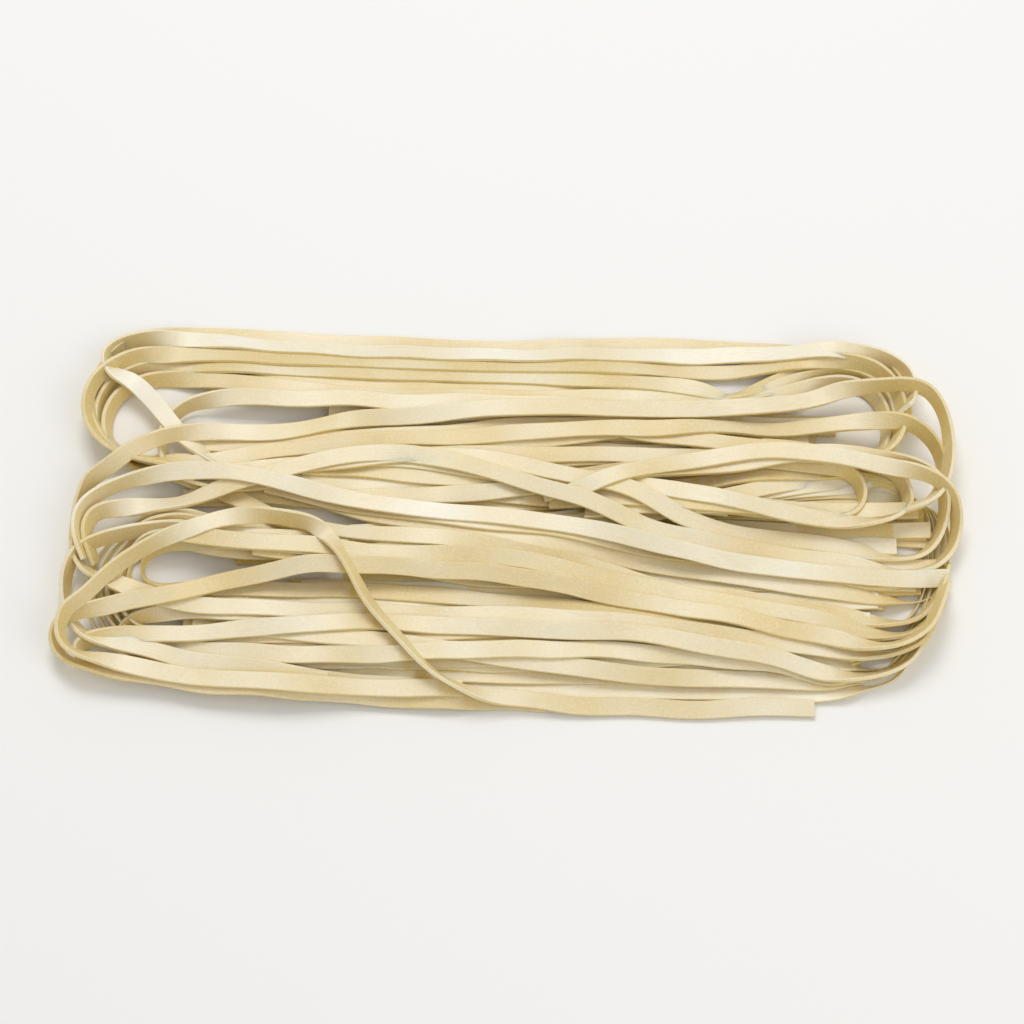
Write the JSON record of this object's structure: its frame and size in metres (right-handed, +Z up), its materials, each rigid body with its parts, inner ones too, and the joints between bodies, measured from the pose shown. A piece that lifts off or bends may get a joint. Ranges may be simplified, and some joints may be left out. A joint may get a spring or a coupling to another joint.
{
  "type": "hank of dried flat noodles",
  "caption": "Hank of dried flat noodles: long cream ribbons folded back and forth into two overlapping coils, with loops that turn back on edge, lying flat",
  "frame": {"origin": "on the surface the hank lies on, below the middle of its bounding box", "axes": "+X along the ribbons, +Y across the hank towards its far coil, +Z up"},
  "size_m": [0.2534, 0.1162, 0.0181],
  "materials": {
    "dried_noodle": "satin"
  },
  "bodies": {
    "root": {"noodle_hank": "dried_noodle"}
  },
  "joints": []
}
